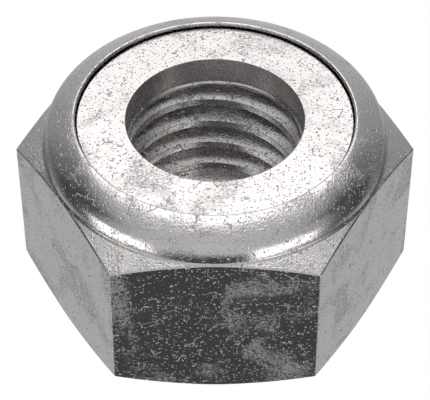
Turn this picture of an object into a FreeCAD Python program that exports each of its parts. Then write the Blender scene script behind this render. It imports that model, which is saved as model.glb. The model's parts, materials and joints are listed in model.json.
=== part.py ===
import FreeCAD, Part
import math
import os
import Sketcher

# Prevailing-torque hexagon nut, M10 x 1.5: a nut whose rolled collar holds a locking ring captive.
# Frame: millimetres, +Z up along the thread axis, origin at the centre of the bearing face.
# Two flats face -Y and +Y, and two corners lie on the X axis.

SHEET = "Dimensions"

# Driving dimensions. Heights are measured up from the bearing face, radii from the thread axis.
DIMENSIONS = {
    "across_flats": 17.0,
    "chamfer_angle": 25.0,
    "bearing_face_radius": 8.16,
    "shoulder_height": 8.66,
    "blank_radius": 10.4,
    "collar_radius": 8.41,
    "collar_foot_fillet": 0.16,
    "collar_belly_radius": 2.2,
    "collar_belly_height": 8.72,
    "collar_belly_top_height": 9.49,
    "collar_corner_fillet": 0.7,
    "collar_crown_radius": 4.3,
    "lip_radius": 6.8,
    "lip_height": 10.39,
    "lip_edge_fillet": 0.1,
    "ring_radius": 7.26,
    "ring_bore_radius": 4.35,
    "ring_seat_height": 8.61,
    "ring_top_height": 10.12,
    "ring_edge_break": 0.05,
    "thread_major_radius": 5.0,
    "thread_minor_radius": 4.188,
    "thread_pitch": 1.5,
    "thread_flank_angle": 30.0,
    "thread_start_height": -1.275,
    "thread_turns": 7.5,
    "thread_cutter_overlap": 0.1,
    "bearing_countersink_radius": 5.4,
    "seat_edge_radius": 4.25,
    "outside_clearance": 1.0,
}

# The bore is cut in equal sectors, so that its wall stays divided into this many faces.
BORE_SECTORS = 8
FLATS = 6
FULL_TURN = 360.0
HALF_TURN = 180.0
QUARTER_TURN = 90.0

# An ISO metric thread's root is an eighth of the pitch wide, so each half of it is a sixteenth.
ROOT_HALF_SHARE = 16

# The pattern has to take this many times what one sector takes, to within this share.
VOLUME_TOLERANCE = 0.001

# Sketcher's ways of naming things: the origin point, the two axes, and an edge's ends.
ORIGIN = (-1, 1)
HORIZONTAL_AXIS = -1
START = 1
END = 2
CENTRE = 3


def make_sheet(doc):
    sheet = doc.addObject("Spreadsheet::Sheet", SHEET)
    for row, (name, value) in enumerate(DIMENSIONS.items(), start=1):
        sheet.set(f"A{row}", name)
        sheet.set(f"B{row}", str(value))
        sheet.setAlias(f"B{row}", name)
    doc.recompute()
    return sheet


def make_body(doc, name):
    body = doc.addObject("PartDesign::Body", name)
    body.Label = name
    body.Placement = FreeCAD.Placement()
    return body


def origin_feature(body, role):
    return next(item for item in body.Origin.OriginFeatures if item.Role == role)


def add_sketch(body, name, plane_role):
    sketch = body.newObject("Sketcher::SketchObject", name)
    sketch.AttachmentSupport = [(origin_feature(body, plane_role), "")]
    sketch.MapMode = "FlatFace"
    return sketch


def flat(point):
    """A sketch point as the vector that Sketcher geometry takes."""
    return FreeCAD.Vector(point[0], point[1], 0)


def add_line(sketch, start, end):
    return sketch.addGeometry(Part.LineSegment(flat(start), flat(end)), False)


def add_arc(sketch, centre, radius, first_angle, last_angle):
    circle = Part.Circle(flat(centre), FreeCAD.Vector(0, 0, 1), radius)
    arc = Part.ArcOfCircle(circle, math.radians(first_angle), math.radians(last_angle))
    return sketch.addGeometry(arc, False)


def join(sketch, first, second):
    """Join two (edge, end) pairs at one point."""
    sketch.addConstraint(Sketcher.Constraint("Coincident", *first, *second))


def smooth_join(sketch, first, second):
    """Join two (edge, end) pairs at one point with no corner."""
    sketch.addConstraint(Sketcher.Constraint("Tangent", *first, *second))


def direct(sketch, edges, kind):
    """Make each of the edges Horizontal or Vertical."""
    for edge in edges:
        sketch.addConstraint(Sketcher.Constraint(kind, edge))


def dimension(sketch, kind, name, expression, where, guess):
    """Add a named dimension and bind it to the sheet."""
    index = sketch.addConstraint(Sketcher.Constraint(kind, *where, guess))
    sketch.renameConstraint(index, name)
    sketch.setExpression(f"Constraints.{name}", expression)


def place(sketch, name, where, x_expression, y_expression, guess):
    """Dimension a point from the origin, in either or both directions."""
    if x_expression:
        dimension(sketch, "DistanceX", f"{name}_x", x_expression, (*ORIGIN, *where), guess[0])
    if y_expression:
        dimension(sketch, "DistanceY", f"{name}_y", y_expression, (*ORIGIN, *where), guess[1])


def add_polygon(sketch, corners):
    """A closed outline through named corners: (name, x expression, y expression, rough point)."""
    points = [corner[3] for corner in corners]
    edges = []
    for start, end in zip(points, points[1:] + points[:1]):
        edges.append(add_line(sketch, start, end))
    for edge, following in zip(edges, edges[1:] + edges[:1]):
        join(sketch, (edge, END), (following, START))
    for edge, (name, x_expression, y_expression, rough) in zip(edges, corners):
        place(sketch, name, (edge, START), x_expression, y_expression, rough)
    return edges


def turn(body, name, sketch, kind, angle=FULL_TURN):
    """Revolve a sketch about its own vertical axis."""
    feature = body.newObject(kind, name)
    feature.Profile = sketch
    feature.ReferenceAxis = (sketch, ["V_Axis"])
    feature.Angle = angle
    return feature


def polar(centre, radius, angle):
    """The point this far from the centre, at this angle in degrees."""
    turned = math.radians(angle)
    return (centre[0] + radius * math.cos(turned), centre[1] + radius * math.sin(turned))


def bearing(start, end):
    """The direction from one point to another, in degrees."""
    return math.degrees(math.atan2(end[1] - start[1], end[0] - start[0]))


def inner_meeting(first, first_reach, second, second_reach):
    """The point at these distances from two points, on the side nearer to the thread axis."""
    span = math.dist(first, second)
    along = (first_reach**2 - second_reach**2 + span**2) / (2 * span)
    across = math.sqrt(first_reach**2 - along**2)
    direction = bearing(first, second)
    foot = polar(first, along, direction)
    return min(polar(foot, across, direction + side) for side in (-QUARTER_TURN, QUARTER_TURN))


def draw_blank(sketch, d):
    """Half section of the turned blank: both chamfers, the collar, its lip and the ring's chamber."""
    flat_top = (d.across_flats / 2, d.shoulder_height)
    belly_centre = (d.collar_radius - d.collar_belly_radius, d.collar_belly_height)
    belly_rise = (d.collar_belly_top_height - d.collar_belly_height) / d.collar_belly_radius
    belly_end = math.degrees(math.asin(belly_rise))
    corner_centre = polar(belly_centre, d.collar_belly_radius - d.collar_corner_fillet, belly_end)
    lip_centre = (d.lip_radius + d.lip_edge_fillet, d.lip_height - d.lip_edge_fillet)
    crown_centre = inner_meeting(corner_centre, d.collar_crown_radius - d.collar_corner_fillet,
                                 lip_centre, d.collar_crown_radius - d.lip_edge_fillet)
    crown_start = bearing(crown_centre, corner_centre)
    crown_end = bearing(crown_centre, lip_centre)
    foot_end = HALF_TURN + QUARTER_TURN - d.chamfer_angle
    foot_centre = (d.collar_radius + d.collar_foot_fillet, d.shoulder_height + d.collar_foot_fillet)
    foot_point = polar(foot_centre, d.collar_foot_fillet, foot_end)
    chamfer = math.radians(d.chamfer_angle)
    low_side = (d.blank_radius, (d.blank_radius - d.bearing_face_radius) * math.tan(chamfer))
    high_side = (d.blank_radius, d.shoulder_height - (d.blank_radius - flat_top[0]) * math.tan(chamfer))
    lip_wall = (d.lip_radius, lip_centre[1])
    lip_foot = (d.lip_radius, d.ring_top_height)
    chamber_top = (d.ring_radius, d.ring_top_height)
    chamber_foot = (d.ring_radius, d.ring_seat_height)

    face = add_line(sketch, (0, 0), (d.bearing_face_radius, 0))
    low_chamfer = add_line(sketch, (d.bearing_face_radius, 0), low_side)
    side = add_line(sketch, low_side, high_side)
    shoulder = add_line(sketch, high_side, foot_point)
    foot = add_arc(sketch, foot_centre, d.collar_foot_fillet, HALF_TURN, foot_end)
    belly = add_arc(sketch, belly_centre, d.collar_belly_radius, 0, belly_end)
    corner = add_arc(sketch, corner_centre, d.collar_corner_fillet, belly_end, crown_start)
    crown = add_arc(sketch, crown_centre, d.collar_crown_radius, crown_start, crown_end)
    lip_edge = add_arc(sketch, lip_centre, d.lip_edge_fillet, crown_end, HALF_TURN)
    lip = add_line(sketch, lip_wall, lip_foot)
    under_lip = add_line(sketch, lip_foot, chamber_top)
    chamber = add_line(sketch, chamber_top, chamber_foot)
    seat = add_line(sketch, chamber_foot, (0, d.ring_seat_height))
    axis = add_line(sketch, (0, d.ring_seat_height), (0, 0))

    join(sketch, (face, START), ORIGIN)
    join(sketch, (face, END), (low_chamfer, START))
    join(sketch, (low_chamfer, END), (side, START))
    join(sketch, (side, END), (shoulder, START))
    smooth_join(sketch, (shoulder, END), (foot, END))
    smooth_join(sketch, (foot, START), (belly, START))
    smooth_join(sketch, (belly, END), (corner, START))
    smooth_join(sketch, (corner, END), (crown, START))
    smooth_join(sketch, (crown, END), (lip_edge, START))
    smooth_join(sketch, (lip_edge, END), (lip, START))
    join(sketch, (lip, END), (under_lip, START))
    join(sketch, (under_lip, END), (chamber, START))
    join(sketch, (chamber, END), (seat, START))
    join(sketch, (seat, END), (axis, START))
    join(sketch, (axis, END), (face, START))
    direct(sketch, (face, under_lip, seat), "Horizontal")
    direct(sketch, (side, lip, chamber, axis), "Vertical")

    on_shoulder = sketch.addGeometry(Part.Point(flat(flat_top)), True)
    sketch.addConstraint(Sketcher.Constraint("PointOnObject", on_shoulder, START, shoulder))
    place(sketch, "flat_top", (on_shoulder, START), f"{SHEET}.across_flats / 2", f"{SHEET}.shoulder_height",
          flat_top)
    place(sketch, "face_edge", (face, END), f"{SHEET}.bearing_face_radius", None,
          (d.bearing_face_radius, 0))
    place(sketch, "side", (side, START), f"{SHEET}.blank_radius", None, low_side)
    place(sketch, "belly", (belly, CENTRE), f"{SHEET}.collar_radius - {SHEET}.collar_belly_radius",
          f"{SHEET}.collar_belly_height", belly_centre)
    place(sketch, "belly_top", (belly, END), None, f"{SHEET}.collar_belly_top_height",
          (0, d.collar_belly_top_height))
    place(sketch, "lip_edge", (lip_edge, CENTRE), f"{SHEET}.lip_radius + {SHEET}.lip_edge_fillet",
          f"{SHEET}.lip_height - {SHEET}.lip_edge_fillet", lip_centre)
    place(sketch, "chamber_top", (chamber, START), f"{SHEET}.ring_radius", f"{SHEET}.ring_top_height",
          chamber_top)
    place(sketch, "seat", (seat, START), None, f"{SHEET}.ring_seat_height", chamber_foot)

    dimension(sketch, "Angle", "low_chamfer_slope", f"{SHEET}.chamfer_angle * 1 deg",
              (low_chamfer,), chamfer)
    dimension(sketch, "Angle", "shoulder_slope", f"180 deg - {SHEET}.chamfer_angle * 1 deg",
              (shoulder,), math.pi - chamfer)
    for arc, name in ((foot, "collar_foot_fillet"), (belly, "collar_belly_radius"),
                      (corner, "collar_corner_fillet"), (crown, "collar_crown_radius"),
                      (lip_edge, "lip_edge_fillet")):
        dimension(sketch, "Radius", f"{name}_size", f"{SHEET}.{name}", (arc,), getattr(d, name))


def draw_flats(sketch, d):
    """Everything outside the hexagon: a circle beyond the blank with the hexagon inside it."""
    corner_radius = d.across_flats / math.sqrt(3)
    corners = []
    for index in range(FLATS):
        angle = math.radians(index * FULL_TURN / FLATS)
        corners.append((corner_radius * math.cos(angle), corner_radius * math.sin(angle)))
    edges = []
    for start, end in zip(corners, corners[1:] + corners[:1]):
        edges.append(add_line(sketch, start, end))
    round_guide = Part.Circle(flat((0, 0)), FreeCAD.Vector(0, 0, 1), corner_radius)
    guide = sketch.addGeometry(round_guide, True)
    join(sketch, (guide, CENTRE), ORIGIN)
    for edge, following in zip(edges, edges[1:] + edges[:1]):
        join(sketch, (edge, END), (following, START))
        sketch.addConstraint(Sketcher.Constraint("PointOnObject", edge, START, guide))
    for edge in edges[1:]:
        sketch.addConstraint(Sketcher.Constraint("Equal", edges[0], edge))
    sketch.addConstraint(Sketcher.Constraint("PointOnObject", edges[0], START, HORIZONTAL_AXIS))
    dimension(sketch, "Radius", "corner_radius", f"{SHEET}.across_flats / sqrt(3)", (guide,),
              corner_radius)
    outside_radius = d.blank_radius + d.outside_clearance
    round_outside = Part.Circle(flat((0, 0)), FreeCAD.Vector(0, 0, 1), outside_radius)
    outside = sketch.addGeometry(round_outside, False)
    join(sketch, (outside, CENTRE), ORIGIN)
    dimension(sketch, "Radius", "outside_radius", f"{SHEET}.blank_radius + {SHEET}.outside_clearance",
              (outside,), outside_radius)


def draw_bore(sketch, d):
    """Half section of the tapping-size bore: a 45 degree countersink below and a broken edge above."""
    minor = f"{SHEET}.thread_minor_radius"
    low = f"{SHEET}.bearing_countersink_radius"
    high = f"{SHEET}.seat_edge_radius"
    seat = f"{SHEET}.ring_seat_height"
    low_depth = d.bearing_countersink_radius - d.thread_minor_radius
    high_depth = d.seat_edge_radius - d.thread_minor_radius
    edges = add_polygon(sketch, [
        ("axis_low", None, None, (0, 0)),
        ("low_rim", low, None, (d.bearing_countersink_radius, 0)),
        ("low_root", minor, f"{low} - {minor}", (d.thread_minor_radius, low_depth)),
        ("high_root", minor, f"{seat} - {high} + {minor}",
         (d.thread_minor_radius, d.ring_seat_height - high_depth)),
        ("high_rim", high, seat, (d.seat_edge_radius, d.ring_seat_height)),
        ("axis_high", None, None, (0, d.ring_seat_height)),
    ])
    join(sketch, (edges[0], START), ORIGIN)
    direct(sketch, (edges[0], edges[4]), "Horizontal")
    direct(sketch, (edges[5],), "Vertical")


def draw_thread_groove(sketch, d):
    """Section of one thread groove, from just inside the bore out to the flat root."""
    pitch = f"{SHEET}.thread_pitch"
    major = f"{SHEET}.thread_major_radius"
    start = f"{SHEET}.thread_start_height"
    mouth = f"{SHEET}.thread_minor_radius - {SHEET}.thread_cutter_overlap"
    root_half = f"{pitch} / {ROOT_HALF_SHARE}"
    mouth_half = f"{root_half} + ({major} - ({mouth})) * tan({SHEET}.thread_flank_angle * 1 deg)"
    mouth_radius = d.thread_minor_radius - d.thread_cutter_overlap
    flank_slope = math.tan(math.radians(d.thread_flank_angle))
    rough_root = d.thread_pitch / ROOT_HALF_SHARE
    rough_mouth = rough_root + (d.thread_major_radius - mouth_radius) * flank_slope
    add_polygon(sketch, [
        ("low_mouth", mouth, f"{start} - ({mouth_half})",
         (mouth_radius, d.thread_start_height - rough_mouth)),
        ("low_root", major, f"{start} - {root_half}",
         (d.thread_major_radius, d.thread_start_height - rough_root)),
        ("high_root", major, f"{start} + {root_half}",
         (d.thread_major_radius, d.thread_start_height + rough_root)),
        ("high_mouth", mouth, f"{start} + {mouth_half}",
         (mouth_radius, d.thread_start_height + rough_mouth)),
    ])


def draw_ring(sketch, d):
    """Half section of the locking ring, with the bore's two edges broken."""
    bore = f"{SHEET}.ring_bore_radius"
    broken = f"{SHEET}.ring_bore_radius + {SHEET}.ring_edge_break"
    outside = f"{SHEET}.ring_radius"
    seat = f"{SHEET}.ring_seat_height"
    top = f"{SHEET}.ring_top_height"
    edge_break = f"{SHEET}.ring_edge_break"
    broken_radius = d.ring_bore_radius + d.ring_edge_break
    add_polygon(sketch, [
        ("low_inner", broken, seat, (broken_radius, d.ring_seat_height)),
        ("low_outer", outside, seat, (d.ring_radius, d.ring_seat_height)),
        ("high_outer", outside, top, (d.ring_radius, d.ring_top_height)),
        ("high_inner", broken, top, (broken_radius, d.ring_top_height)),
        ("bore_high", bore, f"{top} - {edge_break}",
         (d.ring_bore_radius, d.ring_top_height - d.ring_edge_break)),
        ("bore_low", bore, f"{seat} + {edge_break}",
         (d.ring_bore_radius, d.ring_seat_height + d.ring_edge_break)),
    ])


def volume_removed(doc, body, before):
    """Recompute, and give the volume that the newest feature took from the volume before it."""
    doc.recompute()
    removed = before - body.Shape.Volume
    if removed <= 0:
        raise RuntimeError(f"{body.Tip.Label} cut nothing")
    return removed


def make_nut_body(doc, d):
    body = make_body(doc, "nut_body")

    blank_sketch = add_sketch(body, "blank_section", "XZ_Plane")
    draw_blank(blank_sketch, d)
    turn(body, "blank", blank_sketch, "PartDesign::Revolution")
    doc.recompute()

    volume = body.Shape.Volume
    flats_sketch = add_sketch(body, "flats_outline", "XY_Plane")
    draw_flats(flats_sketch, d)
    flats = body.newObject("PartDesign::Pocket", "flats")
    flats.Profile = flats_sketch
    flats.Type = "ThroughAll"
    flats.Reversed = True
    volume -= volume_removed(doc, body, volume)

    bore_sketch = add_sketch(body, "bore_section", "XZ_Plane")
    draw_bore(bore_sketch, d)
    sector = turn(body, "bore_sector", bore_sketch, "PartDesign::Groove", FULL_TURN / BORE_SECTORS)
    sector.Refine = False
    sector_volume = volume_removed(doc, body, volume)

    bore = body.newObject("PartDesign::PolarPattern", "bore")
    bore.Originals = [sector]
    bore.Axis = (origin_feature(body, "Z_Axis"), [""])
    bore.Angle = FULL_TURN
    bore.Occurrences = BORE_SECTORS
    bore.Refine = False
    body.Tip = bore
    bore_volume = volume_removed(doc, body, volume)
    if abs(bore_volume / (BORE_SECTORS * sector_volume) - 1) > VOLUME_TOLERANCE:
        raise RuntimeError("the bore is not made of equal sectors")
    volume -= bore_volume

    thread_sketch = add_sketch(body, "thread_section", "XZ_Plane")
    draw_thread_groove(thread_sketch, d)
    thread = body.newObject("PartDesign::SubtractiveHelix", "thread")
    thread.Profile = thread_sketch
    thread.ReferenceAxis = (thread_sketch, ["V_Axis"])
    thread.Mode = "pitch-turns-angle"
    thread.setExpression("Pitch", f"{SHEET}.thread_pitch")
    thread.setExpression("Turns", f"{SHEET}.thread_turns")
    thread.LeftHanded = False
    thread.Refine = False
    body.Tip = thread
    volume_removed(doc, body, volume)
    return body


def make_locking_ring(doc, d):
    body = make_body(doc, "locking_ring")
    ring_sketch = add_sketch(body, "ring_section", "XZ_Plane")
    draw_ring(ring_sketch, d)
    turn(body, "ring", ring_sketch, "PartDesign::Revolution")
    doc.recompute()
    return body


def check_document(doc, parts):
    """Stop if anything in the document failed to build."""
    for item in doc.Objects:
        if "Invalid" in item.State or "Error" in item.State:
            raise RuntimeError(f"{item.Label} did not build: {item.State}")
    for part in parts:
        if part.Shape.isNull() or not part.Shape.isValid() or len(part.Shape.Solids) != 1:
            raise RuntimeError(f"{part.Label} is not one valid solid")


def export(parts):
    os.makedirs("parts", exist_ok=True)
    for part in parts:
        part.Shape.exportStep(f"parts/{part.Label}.step")
        print(part.Label, round(part.Shape.Volume, 3), "mm3", len(part.Shape.Faces), "faces")


def main():
    doc = FreeCAD.newDocument("prevailing_torque_nut")
    sheet = make_sheet(doc)
    parts = [make_nut_body(doc, sheet), make_locking_ring(doc, sheet)]
    doc.recompute()
    check_document(doc, parts)
    export(parts)


main()
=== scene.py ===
import json
import math

import bpy
import numpy as np
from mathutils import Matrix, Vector


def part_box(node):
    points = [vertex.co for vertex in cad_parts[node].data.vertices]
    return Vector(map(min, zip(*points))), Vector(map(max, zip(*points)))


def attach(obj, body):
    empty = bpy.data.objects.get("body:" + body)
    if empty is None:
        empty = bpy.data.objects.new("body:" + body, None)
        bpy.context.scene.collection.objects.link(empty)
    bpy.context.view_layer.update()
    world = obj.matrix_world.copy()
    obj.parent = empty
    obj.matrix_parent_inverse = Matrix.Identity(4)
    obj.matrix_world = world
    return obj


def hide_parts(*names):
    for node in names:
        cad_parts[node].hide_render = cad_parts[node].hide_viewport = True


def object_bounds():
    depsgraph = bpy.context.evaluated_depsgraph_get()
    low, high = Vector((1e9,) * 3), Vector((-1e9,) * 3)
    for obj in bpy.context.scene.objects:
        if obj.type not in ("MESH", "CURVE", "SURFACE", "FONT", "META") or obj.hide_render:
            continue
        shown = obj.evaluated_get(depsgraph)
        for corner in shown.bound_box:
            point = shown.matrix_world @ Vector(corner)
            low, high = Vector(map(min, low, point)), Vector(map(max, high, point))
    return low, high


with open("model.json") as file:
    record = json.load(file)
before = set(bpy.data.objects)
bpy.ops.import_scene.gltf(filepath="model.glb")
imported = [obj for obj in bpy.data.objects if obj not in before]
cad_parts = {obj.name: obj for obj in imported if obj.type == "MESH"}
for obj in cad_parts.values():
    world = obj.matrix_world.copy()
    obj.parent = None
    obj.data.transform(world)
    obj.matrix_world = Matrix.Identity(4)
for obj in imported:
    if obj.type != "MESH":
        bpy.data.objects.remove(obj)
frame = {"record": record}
cad_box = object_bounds()

# ---------------------------------------------------------------------------
# Sizes, in millimetres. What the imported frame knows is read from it.
# ---------------------------------------------------------------------------

MM = 0.001
BODY_LOW, BODY_HIGH = (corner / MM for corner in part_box("nut_body"))
RING_LOW, RING_HIGH = (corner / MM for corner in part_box("locking_ring"))
MOUNT_RADIUS = {m["name"]: m["dims"].get("r_mm") for m in frame["record"]["mounts"]}

CORNER_RADIUS = BODY_HIGH.x
FLAT_RADIUS = BODY_HIGH.y
LIP_HEIGHT = BODY_HIGH.z
RING_RADIUS = RING_HIGH.x
RING_TOP = RING_HIGH.z
SEAT_HEIGHT = RING_LOW.z
RING_BORE = MOUNT_RADIUS["ring_bore"]
THREAD_MINOR = MOUNT_RADIUS["thread"]

CHAMFER_ANGLE = 25.0
BEARING_RADIUS = 8.16
SHOULDER_HEIGHT = 8.66
COLLAR_RADIUS = 8.41
COLLAR_FOOT = 0.16
BELLY_RADIUS = 2.2
BELLY_HEIGHT = 8.72
BELLY_TOP = 9.49
COLLAR_CORNER = 0.7
COLLAR_CROWN = 4.3
LIP_RADIUS = 6.8
LIP_ROUND = 0.1
THREAD_MAJOR = 5.0
THREAD_PITCH = 1.5
THREAD_START = -1.275
THREAD_ROOT_SHARE = 1 / 16
FLANK_ANGLE = 30.0
COUNTERSINK_RADIUS = 5.4
SEAT_EDGE_RADIUS = 4.25
FLATS = 6

# Fine relief that only the visual model has. HOLD keeps the shading of a flat face flat up to its edge.
EDGE_ROUND = 0.1
LEAST_ROUND = 0.03
CORNER_ROUND = 0.1
HOLD = 0.03
RING_EDGE = 0.05
LAND_HEIGHT = 8.45
RUN_OUT_SLOPE = 4
FLARE_LENGTH = 0.35
RING_UNDERCUT = 0.09
RING_UNDERCUT_DEPTH = 0.8
RIM_RADIUS = 6.74
RIM_ROUND = 0.04
GAP_OUTER = 6.96
GAP_CEILING = 0.035
GAP_DEPTH = 0.2

# Where the collar's foot fillet takes over from the shoulder, in degrees round the fillet's centre.
FOOT_START = 237

SLOPE = math.tan(math.radians(CHAMFER_ANGLE))
SLANT = 1 / math.cos(math.radians(CHAMFER_ANGLE))
RING_COLUMNS = 360


# ---------------------------------------------------------------------------
# Half sections: lists of (radius, height) points
# ---------------------------------------------------------------------------

def arc(centre, radius, first, last, steps):
    """Points on an arc between two angles in degrees, both ends included."""
    angles = np.radians(np.linspace(first, last, steps + 1))
    return [(centre[0] + radius * math.cos(a), centre[1] + radius * math.sin(a)) for a in angles]


def line(start, end, steps):
    """Points inside a straight run, both ends left out."""
    shares = np.linspace(0, 1, steps + 1)[1:-1]
    return [(start[0] + (end[0] - start[0]) * k, start[1] + (end[1] - start[1]) * k) for k in shares]


def turned(centre, radius, angle):
    """The point at this distance and angle in degrees from a centre."""
    turn = math.radians(angle)
    return (centre[0] + radius * math.cos(turn), centre[1] + radius * math.sin(turn))


def bearing(start, end):
    """Angle in degrees of the way from one point to another."""
    return math.degrees(math.atan2(end[1] - start[1], end[0] - start[0]))


def inner_meeting(first, first_reach, second, second_reach):
    """The point at these two distances from two centres, on the side nearer to the axis."""
    span = math.dist(first, second)
    along = (first_reach**2 - second_reach**2 + span**2) / (2 * span)
    across = math.sqrt(first_reach**2 - along**2)
    ahead = bearing(first, second)
    foot = turned(first, along, ahead)
    return min(turned(foot, across, ahead + side) for side in (90, -90))


def collar_section():
    """From the foot fillet up the belly, over crown and lip, round the gap and down the chamber to the seat."""
    foot = turned((FLAT_RADIUS, SHOULDER_HEIGHT), COLLAR_FOOT, 90 - CHAMFER_ANGLE)
    belly = (COLLAR_RADIUS - BELLY_RADIUS, BELLY_HEIGHT)
    belly_end = math.degrees(math.asin((BELLY_TOP - BELLY_HEIGHT) / BELLY_RADIUS))
    corner = turned(belly, BELLY_RADIUS - COLLAR_CORNER, belly_end)
    lip = (LIP_RADIUS + LIP_ROUND, LIP_HEIGHT - LIP_ROUND)
    crown = inner_meeting(corner, COLLAR_CROWN - COLLAR_CORNER, lip, COLLAR_CROWN - LIP_ROUND)
    belly_start = bearing(belly, foot)
    crown_start = bearing(crown, corner)
    crown_end = bearing(crown, lip)

    points = arc(foot, COLLAR_FOOT, FOOT_START, 180 + belly_start, 7)
    points += arc(belly, BELLY_RADIUS, belly_start, belly_end, 8)[1:]
    points += arc(corner, COLLAR_CORNER, belly_end, crown_start, 9)[1:]
    points += arc(crown, COLLAR_CROWN, crown_start, crown_end, 12)[1:]
    points += arc(lip, LIP_ROUND, crown_end, 180, 6)[1:]
    ceiling = RING_TOP + GAP_CEILING
    floor = RING_TOP - GAP_DEPTH
    points += [(LIP_RADIUS, ceiling), (LIP_RADIUS + HOLD, ceiling - HOLD / 2), (GAP_OUTER, ceiling - HOLD),
               (GAP_OUTER, floor), (RING_RADIUS, floor), (RING_RADIUS, SEAT_HEIGHT)]
    return points


def hexagon_section(radius):
    """From the bearing face out round a flat and back in over the shoulder, where the hexagon is this wide."""
    low = (radius - BEARING_RADIUS) * SLOPE
    high = SHOULDER_HEIGHT - (radius - FLAT_RADIUS) * SLOPE
    ease = min(EDGE_ROUND, LEAST_ROUND + (radius - FLAT_RADIUS) / 2)
    drop = ease * (SLANT - SLOPE)
    turn = 90 - CHAMFER_ANGLE
    low_edge = arc((radius - ease, low + drop), ease, -turn, 0, 5)
    high_edge = arc((radius - ease, high - drop), ease, 0, turn, 5)
    foot = turned((FLAT_RADIUS, SHOULDER_HEIGHT), COLLAR_FOOT, turn)
    foot_end = turned(foot, COLLAR_FOOT, FOOT_START)
    above = (radius, low_edge[-1][1] + HOLD)
    below = (radius, high_edge[0][1] - HOLD)
    inward = min(HOLD, (high_edge[-1][0] - foot_end[0]) / 4)
    beside_edge = (high_edge[-1][0] - inward, high_edge[-1][1] + inward * SLOPE)
    beside_foot = (foot_end[0] + inward, foot_end[1] - inward * SLOPE)
    points = line((COUNTERSINK_RADIUS, 0), (BEARING_RADIUS, 0), 5)
    points += [(BEARING_RADIUS, 0)]
    points += line((BEARING_RADIUS, 0), low_edge[0], 3)
    points += low_edge + [above]
    points += line(above, below, 7)
    points += [below] + high_edge + [beside_edge]
    points += line(beside_edge, beside_foot, 3)
    points += [beside_foot]
    return points


def hexagon_radius(angle):
    """How far the hexagon's outline is from the axis at an angle in degrees, with its corners eased."""
    sector = 360 / FLATS
    off_corner = math.radians(abs((angle + sector / 2) % sector - sector / 2))
    straight = FLAT_RADIUS / math.cos(math.radians(sector / 2) - off_corner)
    centre = CORNER_RADIUS - CORNER_ROUND / math.sin(math.radians(sector))
    sideways = centre * math.sin(off_corner)
    if sideways >= CORNER_ROUND:
        return straight
    eased = centre * math.cos(off_corner) + math.sqrt(CORNER_ROUND**2 - sideways**2)
    return min(straight, eased)


def bore_radius(angle, height):
    """Radius of the bore's wall at an angle in degrees: thread, run-out, flare to the seat and countersink."""
    along = (height - THREAD_START) / THREAD_PITCH - angle / 360
    off_groove = abs(along - round(along)) * THREAD_PITCH
    off_root = off_groove - THREAD_PITCH * THREAD_ROOT_SHARE
    flank = THREAD_MAJOR - off_root / math.tan(math.radians(FLANK_ANGLE))
    thread = min(max(flank, THREAD_MINOR), THREAD_MAJOR)
    run_out = THREAD_MINOR + max(LAND_HEIGHT - height, 0) * RUN_OUT_SLOPE
    flare_share = 1 - (SEAT_HEIGHT - height) / FLARE_LENGTH
    flare = THREAD_MINOR + (SEAT_EDGE_RADIUS - THREAD_MINOR) * flare_share
    return max(min(thread, run_out), flare, COUNTERSINK_RADIUS - height)


# ---------------------------------------------------------------------------
# Meshes
# ---------------------------------------------------------------------------

def column_angles():
    """Angles of the mesh's columns in degrees, closer together at the hexagon's corners."""
    half = 180 / FLATS
    near = [0, 0.1, 0.2, 0.3, 0.45, 0.8, 1.5]
    even = list(np.linspace(2.5, half, 27))
    offsets = near + even
    offsets += [2 * half - k for k in reversed(offsets[1:-1])]
    return [corner * 2 * half + k for corner in range(FLATS) for k in offsets]


def thread_shares():
    """Places of the mesh's rows from one groove's middle to the next, as shares of a pitch."""
    root = THREAD_ROOT_SHARE
    flank_width = (THREAD_MAJOR - THREAD_MINOR) * math.tan(math.radians(FLANK_ANGLE))
    crest = root + flank_width / THREAD_PITCH
    ease = 0.012
    half = [0, root - ease, root + ease]
    half += list(np.linspace(root + ease, crest - ease, 6)[1:])
    half += [crest, crest + ease, 0.5]
    return half + [1 - k for k in reversed(half[1:-1])]


def tidy_face(corners):
    """The face's corners with repeats dropped, or None if too few are left."""
    kept = []
    for corner in corners:
        if corner not in kept:
            kept.append(corner)
    return kept if len(kept) > 2 else None


def new_piece(name, vertices, faces, material):
    """A smooth-shaded object from millimetre points, with normals that follow its large faces."""
    mesh = bpy.data.meshes.new(name)
    mesh.from_pydata([Vector(v) * MM for v in vertices], [], faces)
    mesh.validate()
    mesh.update()
    mesh.shade_smooth()
    mesh.materials.append(material)
    piece = bpy.data.objects.new(name, mesh)
    bpy.context.scene.collection.objects.link(piece)
    normals = piece.modifiers.new("even_normals", "WEIGHTED_NORMAL")
    normals.mode = "FACE_AREA"
    normals.weight = 80
    return piece


def around(angle, radius, height):
    """A point from its angle in degrees, its distance from the axis and its height."""
    turn = math.radians(angle)
    return (radius * math.cos(turn), radius * math.sin(turn), height)


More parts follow.
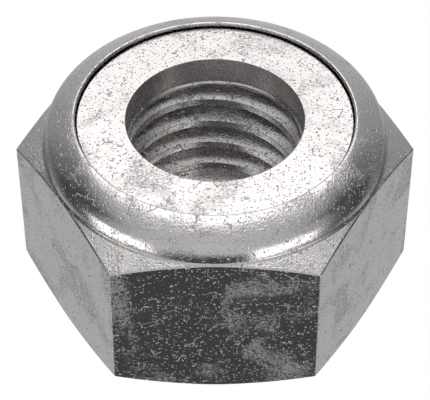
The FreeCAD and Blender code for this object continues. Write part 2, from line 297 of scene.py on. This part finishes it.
def make_nut_body(material):
    """Columns of points round the nut: up its outside and in to the seat, then down the threaded bore."""
    angles = column_angles()
    collar = collar_section()
    shares = thread_shares()
    turns = range(-1, math.ceil((SEAT_HEIGHT - THREAD_START) / THREAD_PITCH) + 1)
    vertices, outside, inside = [], [], []

    def add(angle, radius, height):
        vertices.append(around(angle, radius, height))
        return len(vertices) - 1

    for angle in angles:
        section = hexagon_section(hexagon_radius(angle)) + collar
        bottom = add(angle, COUNTERSINK_RADIUS, 0)
        top = add(angle, SEAT_EDGE_RADIUS, SEAT_HEIGHT)
        outside.append([bottom] + [add(angle, *point) for point in section] + [top])
        column = []
        for height in (THREAD_START + THREAD_PITCH * (angle / 360 + k + s) for k in turns for s in shares):
            if height <= 0:
                column.append(bottom)
            elif height >= SEAT_HEIGHT:
                column.append(top)
            else:
                column.append(add(angle, bore_radius(angle, height), height))
        inside.append(column)

    faces = []
    for here in range(len(angles)):
        there = (here + 1) % len(angles)
        shift = len(shares) if there == 0 else 0
        for row in range(len(outside[here]) - 1):
            faces.append((outside[here][row], outside[there][row],
                          outside[there][row + 1], outside[here][row + 1]))
        for row in range(len(inside[here]) - 1 - shift):
            faces.append((inside[here][row + 1], inside[there][row + 1 + shift],
                          inside[there][row + shift], inside[here][row]))
    faces = [tidy_face(face) for face in faces]
    return new_piece("nut_body_worn", vertices, [face for face in faces if face], material)


def make_locking_ring(material):
    """The ring's half section turned once round: eased edges, an undercut at its bore, a gap at its rim."""
    bore_edge = (RING_BORE + RING_EDGE, RING_TOP - RING_EDGE)
    rim = (RIM_RADIUS - RIM_ROUND, RING_TOP - RIM_ROUND)
    gap_floor = RING_TOP - GAP_DEPTH
    bore_end = (RING_BORE, SEAT_HEIGHT + RING_UNDERCUT)
    section = [(RING_RADIUS, SEAT_HEIGHT), (RING_RADIUS, gap_floor), (RIM_RADIUS, gap_floor)]
    section += arc(rim, RIM_ROUND, 0, 90, 5)
    section += [(rim[0] - HOLD, RING_TOP)]
    section += line(section[-1], (bore_edge[0] + HOLD, RING_TOP), 8)
    section += [(bore_edge[0] + HOLD, RING_TOP)]
    section += arc(bore_edge, RING_EDGE, 90, 180, 5)
    section += [(RING_BORE, bore_edge[1] - HOLD)]
    section += line(section[-1], (RING_BORE, bore_end[1] + HOLD), 4)
    section += [(RING_BORE, bore_end[1] + HOLD), bore_end, (RING_BORE + HOLD, bore_end[1])]
    undercut_radius = RING_BORE + RING_UNDERCUT_DEPTH
    section += [(undercut_radius, bore_end[1]), (undercut_radius, SEAT_HEIGHT)]
    rows = len(section)
    vertices = [around(c * 360 / RING_COLUMNS, *point) for c in range(RING_COLUMNS) for point in section]
    faces = []
    for c in range(RING_COLUMNS):
        following = (c + 1) % RING_COLUMNS
        for row in range(rows):
            above = (row + 1) % rows
            faces.append((c * rows + row, following * rows + row,
                          following * rows + above, c * rows + above))
    return new_piece("locking_ring_worn", vertices, faces, material)


# ---------------------------------------------------------------------------
# Materials: bare steel with pits, scratches and dulled patches. Lengths inside them are in millimetres.
# ---------------------------------------------------------------------------

def node(tree, kind, inputs=None, **settings):
    """A new node. Inputs are plain values or other nodes' sockets."""
    made = tree.nodes.new(kind)
    for name, value in settings.items():
        setattr(made, name, value)
    for key, value in (inputs or {}).items():
        if isinstance(value, bpy.types.NodeSocket):
            tree.links.new(value, made.inputs[key])
        else:
            made.inputs[key].default_value = value
    return made


def maths(tree, operation, *values):
    """One arithmetic step on values or sockets."""
    made = node(tree, "ShaderNodeMath", dict(enumerate(values)), operation=operation)
    return made.outputs[0]


def ramp(tree, value, low, high, to_low=0.0, to_high=1.0):
    """A smooth step of the value, from to_low at low to to_high at high."""
    inputs = {"Value": value, "From Min": low, "From Max": high, "To Min": to_low, "To Max": to_high}
    made = node(tree, "ShaderNodeMapRange", inputs, interpolation_type="SMOOTHSTEP")
    return made.outputs["Result"]


def noise(tree, where, scale, detail=2.0, distortion=0.0):
    """Soft noise from 0 to 1."""
    inputs = {"Vector": where, "Scale": scale, "Detail": detail, "Distortion": distortion}
    return node(tree, "ShaderNodeTexNoise", inputs).outputs["Fac"]


def stretched(tree, where, turn, scale):
    """The same place in a frame turned by these degrees and stretched by these factors."""
    inputs = {"Vector": where, "Rotation": [math.radians(k) for k in turn], "Scale": scale}
    return node(tree, "ShaderNodeMapping", inputs, vector_type="TEXTURE").outputs["Vector"]


def dots(tree, where, scale, size):
    """Round spots of uneven size: 1 inside each and 0 outside."""
    cells = node(tree, "ShaderNodeTexVoronoi", {"Vector": where, "Scale": scale}, feature="F1")
    luck = node(tree, "ShaderNodeSeparateColor", {"Color": cells.outputs["Color"]})
    reach = maths(tree, "MULTIPLY", luck.outputs[0], size)
    share = maths(tree, "DIVIDE", cells.outputs["Distance"], reach)
    return ramp(tree, share, 0.45, 1.0, 1.0, 0.0)


def blend(tree, *weighted):
    """The sum of values, each times its own weight."""
    total = 0.0
    for value, weight in weighted:
        total = maths(tree, "MULTIPLY_ADD", value, weight, total)
    return total


def largest(tree, first, *others):
    """The largest of the values at each place."""
    for other in others:
        first = maths(tree, "MAXIMUM", first, other)
    return first


def mix(tree, share, first, second):
    """The first colour where the share is 0 and the second where it is 1."""
    made = node(tree, "ShaderNodeMix", {"Factor": share, "A": first, "B": second}, data_type="RGBA")
    return made.outputs["Result"]


def bent(tree, where, scale, reach):
    """The same place pushed about by smooth noise, so that straight things drawn there come out curved."""
    def vector_maths(operation, inputs):
        return node(tree, "ShaderNodeVectorMath", inputs, operation=operation).outputs[0]

    push = node(tree, "ShaderNodeTexNoise", {"Vector": where, "Scale": scale, "Detail": 2.0}).outputs["Color"]
    centred = vector_maths("SUBTRACT", {0: push, 1: (0.5, 0.5, 0.5)})
    offset = vector_maths("SCALE", {0: centred, "Scale": reach})
    return vector_maths("ADD", {0: where, 1: offset})


def cracks(tree, where, scale, width, zone_scale):
    """Thin curved lines that branch and break off."""
    inputs = {"Vector": bent(tree, where, scale * 1.5, 0.5 / scale), "Scale": scale}
    cells = node(tree, "ShaderNodeTexVoronoi", inputs, feature="DISTANCE_TO_EDGE")
    lines = ramp(tree, cells.outputs["Distance"], 0.0, width, 1.0, 0.0)
    zone = ramp(tree, noise(tree, where, zone_scale, 2.0), 0.59, 0.63)
    return maths(tree, "MULTIPLY", lines, zone)


def worn_steel(name, colour, seed, haze_share, wall_wear=1.0):
    """Bare steel: smooth between its marks, rough inside them. Wall wear: how marked upright faces are."""
    material = bpy.data.materials.new(name)
    material.use_nodes = True
    tree = material.node_tree
    shader = tree.nodes["Principled BSDF"]
    coordinates = node(tree, "ShaderNodeTexCoord")
    shift = [seed * 17.3, seed * 5.1, seed * 9.7]
    spot = node(tree, "ShaderNodeMapping",
                {"Vector": coordinates.outputs["Object"], "Scale": [1 / MM] * 3, "Location": shift})
    where = spot.outputs["Vector"]
    facing = node(tree, "ShaderNodeSeparateXYZ", {"Vector": coordinates.outputs["Normal"]}).outputs["Z"]
    wear = ramp(tree, maths(tree, "ABSOLUTE", facing), 0.0, 0.25, wall_wear, 1.0)

    cloud = noise(tree, where, 0.42, 4.0, 0.8)
    cloudy = ramp(tree, cloud, 0.46, 0.68)
    grain = noise(tree, where, 10.0, 3.0, 0.3)
    speckle = ramp(tree, noise(tree, where, 8.0, 4.0, 0.8), 0.42, 0.64)
    fleck_noise = noise(tree, where, 7.5, 4.0, 1.0)
    fleck_level = blend(tree, (fleck_noise, 1.0), (maths(tree, "SUBTRACT", cloud, 0.5), 0.75))
    flecks = ramp(tree, fleck_level, 0.57, 0.70)
    haze = maths(tree, "MULTIPLY", cloudy, speckle)
    small_pits = dots(tree, where, 8.0, 0.42)
    middle_pits = dots(tree, bent(tree, where, 6.0, 0.1), 3.0, 0.27)
    large_pits = dots(tree, bent(tree, where, 3.0, 0.3), 0.8, 0.15)
    curved = bent(tree, where, 1.1, 0.7)
    steep = dots(tree, stretched(tree, curved, (0, 24, 0), (0.7, 1.0, 12.0)), 1.7, 0.1)
    slanted = dots(tree, stretched(tree, curved, (20, 35, 62), (0.7, 12.0, 1.0)), 1.6, 0.075)
    crossing = dots(tree, stretched(tree, curved, (-30, 10, -48), (0.7, 11.0, 1.0)), 1.4, 0.07)
    level_dashes = dots(tree, stretched(tree, where, (0, 0, 0), (3.0, 3.0, 1.0)), 3.4, 0.16)
    lines = cracks(tree, where, 1.1, 0.022, 1.3)
    scratches = largest(tree, steep, slanted, crossing, level_dashes, lines)
    pits = largest(tree, small_pits, middle_pits, large_pits)
    marks = maths(tree, "MULTIPLY", largest(tree, pits, scratches), wear)

    uneven = blend(tree, (haze, haze_share), (flecks, 0.26), (grain, 0.16))
    worn = maths(tree, "MULTIPLY", uneven, wear)
    roughness = blend(tree, (worn, 1.0), (marks, 0.3), (wear, -0.2), (1.0, 0.27))
    tree.links.new(roughness, shader.inputs["Roughness"])

    dulled = blend(tree, (haze, haze_share), (flecks, 0.15), (speckle, 0.13))
    dull = maths(tree, "MULTIPLY", dulled, wear)
    grime = blend(tree, (marks, 0.28), (dull, 1.0))
    darker = [c * 0.4 for c in colour[:3]] + [1]
    tree.links.new(mix(tree, grime, colour, darker), shader.inputs["Base Color"])
    shader.inputs["Metallic"].default_value = 1.0

    lumpy = blend(tree, (maths(tree, "MULTIPLY", haze, grain), 0.6), (grain, 0.22))
    lumps = maths(tree, "MULTIPLY", lumpy, wear)
    height = blend(tree, (marks, -0.6), (lumps, 1.0))
    bump = node(tree, "ShaderNodeBump", {"Height": height, "Strength": 1.0, "Distance": 0.03 * MM})
    tree.links.new(bump.outputs["Normal"], shader.inputs["Normal"])
    return material


# ---------------------------------------------------------------------------
# Studio: white ground, a round softbox above and behind, and the areas that the steel reflects
# ---------------------------------------------------------------------------

def distance(tree, first, second):
    """How far a point with these two coordinates is from the middle."""
    squares = [maths(tree, "MULTIPLY", k, k) for k in (first, second)]
    return maths(tree, "SQRT", maths(tree, "ADD", *squares))


def colour_ramp(tree, value, stops):
    """A smooth run of greys: stops are (place, brightness)."""
    made = node(tree, "ShaderNodeValToRGB", {"Fac": value})
    made.color_ramp.interpolation = "EASE"
    elements = made.color_ramp.elements
    while len(elements) < len(stops):
        elements.new(0.5)
    for element, (place, brightness) in zip(elements, stops):
        element.position = place
        element.color = grey(brightness)
    return made.outputs["Color"]


# The lamp's middle is this far behind the nut for each unit that it is above it.
LAMP_SLANT = 0.6
LAMP_HEIGHT = 0.5
LAMP_WIDTH = 1.39
LAMP_BRIGHTNESS = 1.25
STUDIO_BRIGHTNESS = 1.65

# Cards round the nut, below its level: azimuth from the back and half width in degrees, lower and upper edge as
# the height of a unit direction, brightness.
CARD_EDGE_TOP = 0.08
CARD_EDGE_FOOT = 0.06
PATCHES = (
    (180, 32, -1.1, -0.36, 0.045),
    (-121, 19, -0.64, -0.26, 1.6),
    (138, 19, -0.64, -0.26, 1.6),
)

# Bands round the lamp's near half, on the plane one unit up: distances from its middle, and brightness.
BAND_EDGE = 0.03
BAND_SQUEEZE = 3.5
HOODS = (
    (-0.1, 0.83, 0.76),
    (0.85, 0.97, 0.2),
    (0.98, 1.06, 0.56),
)


def grey(brightness):
    return (brightness, brightness, brightness, 1)


def make_world():
    """The studio by direction: walls, ground and ceiling, then the low cards, then the bands round the lamp."""
    world = bpy.data.worlds.new("studio")
    bpy.context.scene.world = world
    world.use_nodes = True
    tree = world.node_tree
    tree.nodes.clear()
    direction = node(tree, "ShaderNodeTexCoord").outputs["Generated"]
    split = node(tree, "ShaderNodeSeparateXYZ", {"Vector": direction})
    x, y, z = split.outputs
    level = maths(tree, "MAXIMUM", distance(tree, x, y), 0.001)
    behind = maths(tree, "DIVIDE", y, level)
    place = maths(tree, "ADD", maths(tree, "MULTIPLY", behind, 0.5), 0.5)
    walls = colour_ramp(tree, place, [(0, 0.45), (0.12, 0.42), (0.25, 0.34), (0.41, 0.07), (0.58, 0.045),
                                      (0.75, 0.13), (0.88, 0.26), (1, 0.4)])
    ground = colour_ramp(tree, place, [(0, 0.045), (0.08, 0.06), (0.3, 0.25), (0.6, 0.34), (1, 0.36)])
    above = mix(tree, ramp(tree, z, 0.64, 0.86), walls, grey(0.42))
    seen = mix(tree, ramp(tree, z, -0.68, -0.5), ground, above)

    azimuth = maths(tree, "ARCTAN2", x, y)
    for centre, reach, low, high, brightness in PATCHES:
        turn = maths(tree, "WRAP", maths(tree, "SUBTRACT", azimuth, math.radians(centre)), math.pi, -math.pi)
        off = maths(tree, "ABSOLUTE", turn)
        share = ramp(tree, off, math.radians(reach * 0.6), math.radians(reach * 1.3), 1.0, 0.0)
        under = ramp(tree, z, high - CARD_EDGE_TOP, high + CARD_EDGE_TOP, 1.0, 0.0)
        over = ramp(tree, z, low - CARD_EDGE_FOOT, low + CARD_EDGE_FOOT)
        share = maths(tree, "MULTIPLY", maths(tree, "MULTIPLY", share, under), over)
        seen = mix(tree, share, seen, grey(brightness))

    rise = maths(tree, "MAXIMUM", z, 0.2)
    sideways = maths(tree, "DIVIDE", x, rise)
    beyond = maths(tree, "SUBTRACT", maths(tree, "DIVIDE", y, rise), LAMP_SLANT)
    squeezed = maths(tree, "MULTIPLY", sideways, math.sqrt(BAND_SQUEEZE))
    from_lamp = distance(tree, squeezed, beyond)
    ahead = ramp(tree, beyond, -0.6, -0.35, 1.0, 0.0)
    for inner, outer, brightness in HOODS:
        outside = ramp(tree, from_lamp, inner - BAND_EDGE, inner + BAND_EDGE)
        inside = ramp(tree, from_lamp, outer - BAND_EDGE, outer + BAND_EDGE, 1.0, 0.0)
        share = maths(tree, "MULTIPLY", maths(tree, "MULTIPLY", outside, ahead), inside)
        seen = mix(tree, share, seen, grey(brightness))

    studio = node(tree, "ShaderNodeBackground", {"Color": seen, "Strength": STUDIO_BRIGHTNESS})
    paper = node(tree, "ShaderNodeBackground", {"Color": (1, 1, 1, 1), "Strength": 1.0})
    sight = node(tree, "ShaderNodeLightPath").outputs["Is Camera Ray"]
    either = node(tree, "ShaderNodeMixShader", {0: sight, 1: studio.outputs[0], 2: paper.outputs[0]})
    node(tree, "ShaderNodeOutputWorld", {"Surface": either.outputs[0]})


def make_softbox():
    """A round light high up and a little behind the nut, facing straight down."""
    diameter = LAMP_WIDTH * LAMP_HEIGHT
    light = bpy.data.lights.new("softbox", "AREA")
    light.shape = "DISK"
    light.size = diameter
    light.energy = LAMP_BRIGHTNESS * math.pi * math.pi * diameter**2 / 4
    softbox = bpy.data.objects.new("softbox", light)
    softbox.location = (0, LAMP_SLANT * LAMP_HEIGHT, LAMP_HEIGHT)
    bpy.context.scene.collection.objects.link(softbox)
    softbox.visible_camera = False


# Half width in metres, and distance below the nut in millimetres.
FLOOR_REACH = 2.0
FLOOR_GAP = 0.01


def make_floor():
    """White paper that only the camera sees, so that the steel reflects the studio and not the paper."""
    reach = FLOOR_REACH
    corners = [(-reach, -reach, 0), (reach, -reach, 0), (reach, reach, 0), (-reach, reach, 0)]
    mesh = bpy.data.meshes.new("floor")
    mesh.from_pydata(corners, [], [(0, 1, 2, 3)])
    material = bpy.data.materials.new("white_paper")
    material.use_nodes = True
    tree = material.node_tree
    tree.nodes.clear()
    glow = node(tree, "ShaderNodeEmission", {"Color": (1, 1, 1, 1), "Strength": 1.0})
    node(tree, "ShaderNodeOutputMaterial", {"Surface": glow.outputs[0]})
    material.cycles.emission_sampling = "NONE"
    mesh.materials.append(material)
    floor = bpy.data.objects.new("floor", mesh)
    floor.location = (0, 0, cad_box[0].z - FLOOR_GAP * MM)
    bpy.context.scene.collection.objects.link(floor)
    floor.visible_glossy = False
    floor.visible_shadow = False


# Elevation in degrees, lens in millimetres, and the other two in corner radii of the hexagon.
CAMERA_ELEVATION = 45.25
CAMERA_LENS = 165.3
CAMERA_DISTANCE = 10.186
TARGET_HEIGHT = 0.455


def make_camera():
    """A long lens that looks down at a flat from the front, half way to the vertical."""
    elevation = math.radians(CAMERA_ELEVATION)
    away = CAMERA_DISTANCE * CORNER_RADIUS * MM
    target = Vector((0, 0, TARGET_HEIGHT * CORNER_RADIUS * MM))
    data = bpy.data.cameras.new("camera")
    data.sensor_width = 36.0
    data.lens = CAMERA_LENS
    data.clip_start = 0.001
    data.clip_end = 10.0
    camera = bpy.data.objects.new("camera", data)
    camera.location = target + away * Vector((0, -math.cos(elevation), math.sin(elevation)))
    camera.rotation_euler = (math.pi / 2 - elevation, 0, 0)
    bpy.context.scene.collection.objects.link(camera)
    bpy.context.scene.camera = camera


# ---------------------------------------------------------------------------
# The scene
# ---------------------------------------------------------------------------

nut_steel = worn_steel("nut_steel", (0.605, 0.588, 0.58, 1), seed=1, haze_share=0.18)
ring_steel = worn_steel("ring_steel", (0.575, 0.556, 0.55, 1), seed=2, haze_share=0.13, wall_wear=0.15)
for piece, cad_node, slot in (
    (make_nut_body(nut_steel), "nut_body", "nut_steel"),
    (make_locking_ring(ring_steel), "locking_ring", "ring_steel"),
):
    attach(piece, "root")
    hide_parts(cad_node)

make_world()
make_softbox()
make_floor()
make_camera()
bpy.context.scene.view_settings.view_transform = "Standard"
